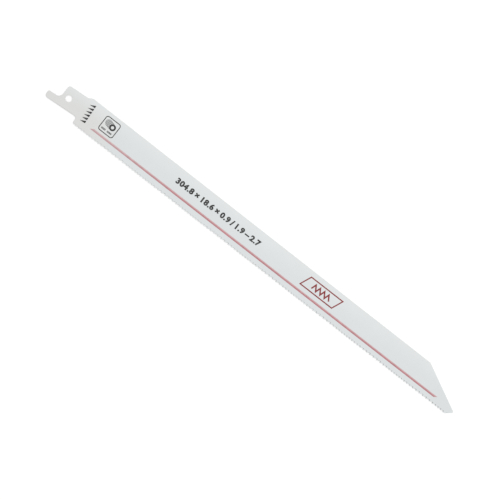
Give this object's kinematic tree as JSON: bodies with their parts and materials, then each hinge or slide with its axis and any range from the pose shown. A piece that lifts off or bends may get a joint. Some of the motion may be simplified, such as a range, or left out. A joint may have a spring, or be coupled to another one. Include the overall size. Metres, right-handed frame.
{
  "type": "reciprocating saw blade",
  "caption": "Long thin coated saw blade with a canted universal shank, notched finger and pin hole, a slanted nose, and set teeth whose pitch varies along the edge.",
  "frame": {"origin": "centre of the shank hole, in the middle of the strip's thickness", "axes": "+X along the toothed edge from the shank towards the nose, +Y from the teeth towards the back edge, +Z out of the printed face"},
  "size_m": [0.3048, 0.0186, 0.0012],
  "materials": {
    "enamelled_steel": "pale cool grey-white enamel, satin, over steel strip, with bare milled steel at the teeth",
    "red_ink": "thin screen-printed red ink, satin",
    "black_ink": "thin screen-printed black ink, satin"
  },
  "bodies": {
    "root": {"blade": "enamelled_steel"}
  },
  "joints": []
}
